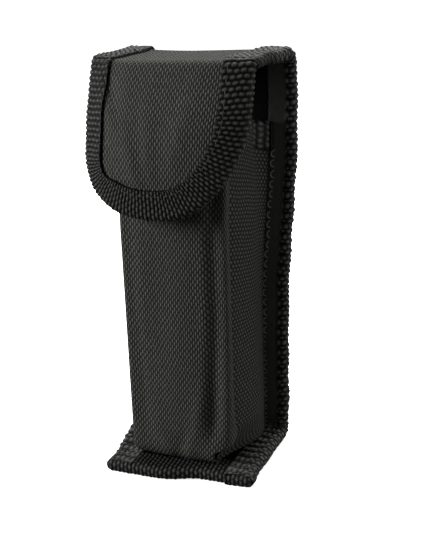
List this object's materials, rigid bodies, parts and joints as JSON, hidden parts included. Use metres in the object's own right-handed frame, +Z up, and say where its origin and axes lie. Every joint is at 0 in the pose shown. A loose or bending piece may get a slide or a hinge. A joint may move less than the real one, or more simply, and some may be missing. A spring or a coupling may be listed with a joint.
{
  "type": "belt pouch for a pocket torch",
  "caption": "Stiffened nylon belt pouch for a pocket torch, with bound edges, side gussets, a belt loop and a fold-over flap closed by hook and loop.",
  "frame": {"origin": "on the floor, under the middle of the pouch's overall box", "axes": "+Z up, the flap and front panel towards -Y, the belt loop towards +Y, +X to the wearer's-view right"},
  "size_m": [0.06, 0.0588, 0.15],
  "materials": {
    "pouch_cloth": "coarse plain-weave black nylon, slight sheen",
    "binding_tape": "ribbed black binding tape",
    "belt_webbing": "woven black webbing",
    "lining_cloth": "thin matte black lining",
    "stiffener_board": "plain matte plastic sheet",
    "panel_foam": "closed-cell foam",
    "loop_fastener": "fuzzy loop pile",
    "hook_fastener": "stiff hook pile",
    "sewing_thread": "bonded black thread"
  },
  "bodies": {
    "pouch": {"back_base_shell": "pouch_cloth", "front_shell": "pouch_cloth", "gusset_left_shell": "pouch_cloth", "gusset_right_shell": "pouch_cloth", "back_base_lining": "lining_cloth", "front_lining": "lining_cloth", "gusset_left_lining": "lining_cloth", "gusset_right_lining": "lining_cloth", "back_board": "stiffener_board", "base_board": "stiffener_board", "side_binding_left": "binding_tape", "side_binding_right": "binding_tape", "base_front_binding": "binding_tape", "mouth_binding_front": "binding_tape", "mouth_binding_left": "binding_tape", "mouth_binding_right": "binding_tape", "seam_stitching_left": "sewing_thread", "seam_stitching_right": "sewing_thread", "belt_loop_stitching_lower": "sewing_thread", "belt_loop_stitching_upper": "sewing_thread", "front_foam": "panel_foam", "loop_patch": "loop_fastener", "belt_loop": "belt_webbing"},
    "lid": {"top_shell": "pouch_cloth", "top_lining": "lining_cloth", "top_board": "stiffener_board", "top_binding_left": "binding_tape", "top_binding_right": "binding_tape", "rear_fold_shell": "pouch_cloth", "rear_fold_lining": "lining_cloth", "rear_fold_binding_left": "binding_tape", "rear_fold_binding_right": "binding_tape"},
    "flap": {"flap_shell": "pouch_cloth", "flap_lining": "lining_cloth", "flap_board": "stiffener_board", "flap_binding": "binding_tape", "hook_patch": "hook_fastener", "front_fold_shell": "pouch_cloth", "front_fold_lining": "lining_cloth", "front_fold_binding_left": "binding_tape", "front_fold_binding_right": "binding_tape"}
  },
  "joints": [
    {"name": "lid_lift", "type": "hinge", "parent": "pouch", "child": "lid", "pos_m": [0, 0.0183, 0.145], "axis": [-1, 0, 0], "range_deg": [0, 110], "deforming": ["rear_fold_shell", "rear_fold_lining", "rear_fold_binding_left", "rear_fold_binding_right"]},
    {"name": "flap_unfold", "type": "hinge", "parent": "lid", "child": "flap", "pos_m": [0, -0.0127, 0.145], "axis": [-1, 0, 0], "range_deg": [0, 110], "deforming": ["front_fold_shell", "front_fold_lining", "front_fold_binding_left", "front_fold_binding_right"]}
  ]
}
